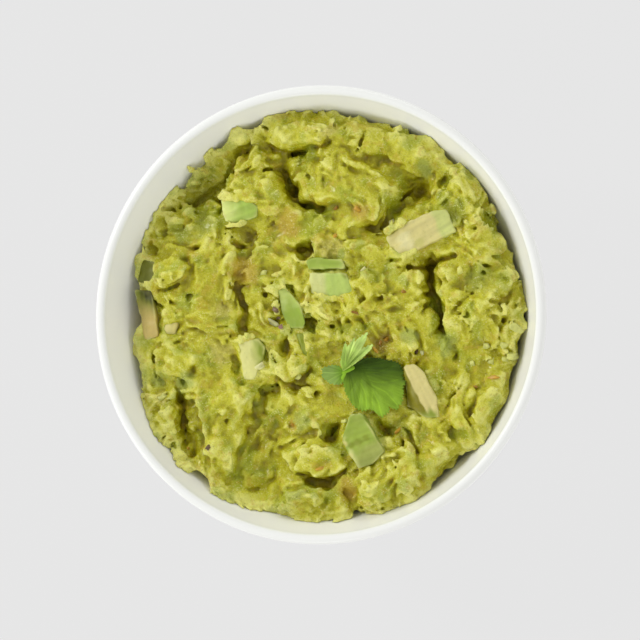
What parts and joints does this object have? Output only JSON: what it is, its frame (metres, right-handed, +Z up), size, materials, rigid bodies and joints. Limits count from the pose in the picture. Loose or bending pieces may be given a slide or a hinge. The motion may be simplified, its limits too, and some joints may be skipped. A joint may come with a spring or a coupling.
{
  "type": "guacamole",
  "caption": "Round white glazed bowl filled with chunky mashed-avocado dip, with diced avocado pressed in and a coriander leaf on top.",
  "frame": {"origin": "centre of the bowl's foot ring, on the surface it stands on", "axes": "+Z up out of the bowl's mouth, front of the bowl towards -Y"},
  "size_m": [0.15, 0.15, 0.062],
  "materials": {
    "glaze": "gloss",
    "mash": "satin",
    "avocado_flesh": "satin",
    "herb": "satin",
    "onion": "satin",
    "tomato": "satin"
  },
  "bodies": {
    "root": {"bowl": "glaze", "guacamole": "mash", "avocado_die_back_left": "avocado_flesh", "avocado_die_centre_back": "avocado_flesh", "avocado_die_centre_front": "avocado_flesh", "avocado_strip_centre_left": "avocado_flesh", "avocado_sliver_centre_left": "avocado_flesh", "avocado_die_left": "avocado_flesh", "avocado_chunk_back_right": "avocado_flesh", "avocado_strip_left_wall": "avocado_flesh", "avocado_die_left_wall": "avocado_flesh", "avocado_bit_left_wall": "avocado_flesh", "avocado_chunk_right": "avocado_flesh", "avocado_die_front": "avocado_flesh", "coriander_leaf": "herb"}
  },
  "joints": []
}
